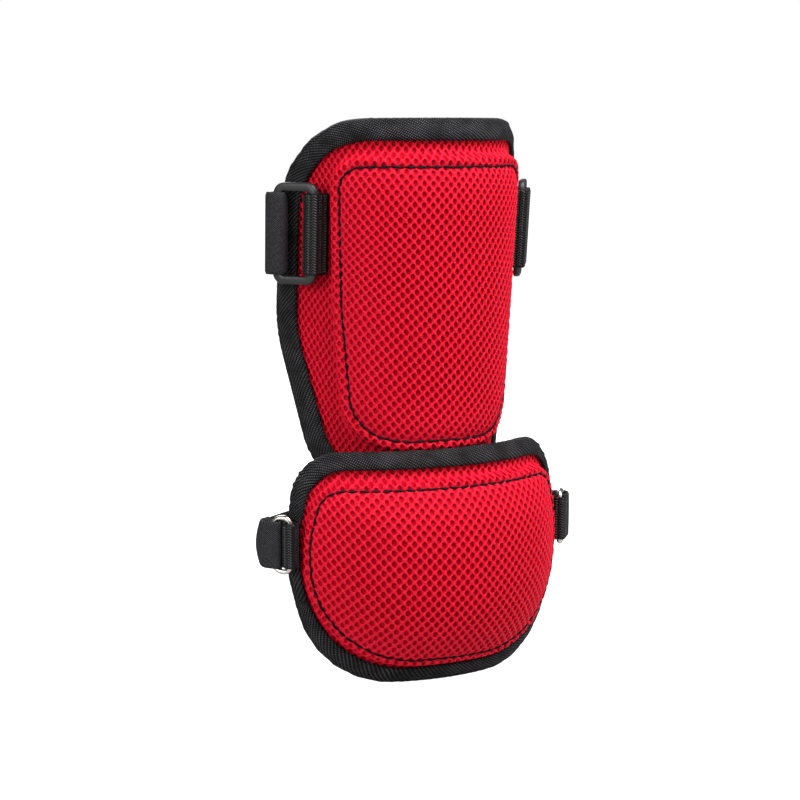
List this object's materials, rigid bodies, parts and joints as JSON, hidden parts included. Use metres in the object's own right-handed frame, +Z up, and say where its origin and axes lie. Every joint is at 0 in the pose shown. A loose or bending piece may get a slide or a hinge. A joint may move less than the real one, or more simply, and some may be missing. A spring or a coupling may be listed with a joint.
{
  "type": "elbow guard",
  "caption": "Padded elbow guard for sport: long arm pad with a domed elbow cup lapped over its end, mesh-covered foam with bound edges, elastic straps on loops and D-rings.",
  "frame": {"origin": "centre line of the arm at the lap of the two pads, where the elbow bends", "axes": "+Z up the arm, the padded front towards -Y, the straps' closed back towards +Y, mirror plane at X = 0"},
  "size_m": [0.1558, 0.1165, 0.2433],
  "materials": {
    "air_mesh": "red polyester air mesh with staggered oval holes",
    "lined_foam": "black brushed tricot lining over foam",
    "binding_tape": "black twill binding tape",
    "webbing": "black herringbone webbing",
    "elastic": "black ribbed elastic",
    "loop_plastic": "black moulded acetal, satin",
    "nickel_steel": "nickel-plated steel wire, bright"
  },
  "bodies": {
    "root": {"arm_pad": "lined_foam", "arm_cover": "air_mesh", "arm_binding": "binding_tape", "elbow_pad": "lined_foam", "elbow_cover": "air_mesh", "elbow_binding": "binding_tape", "arm_tab_right": "webbing", "arm_tab_left": "webbing", "arm_loop_right": "loop_plastic", "arm_loop_left": "loop_plastic", "arm_strap": "elastic", "elbow_tab_right": "webbing", "elbow_tab_left": "webbing", "elbow_ring_right": "nickel_steel", "elbow_ring_left": "nickel_steel", "elbow_strap": "elastic"}
  },
  "joints": []
}
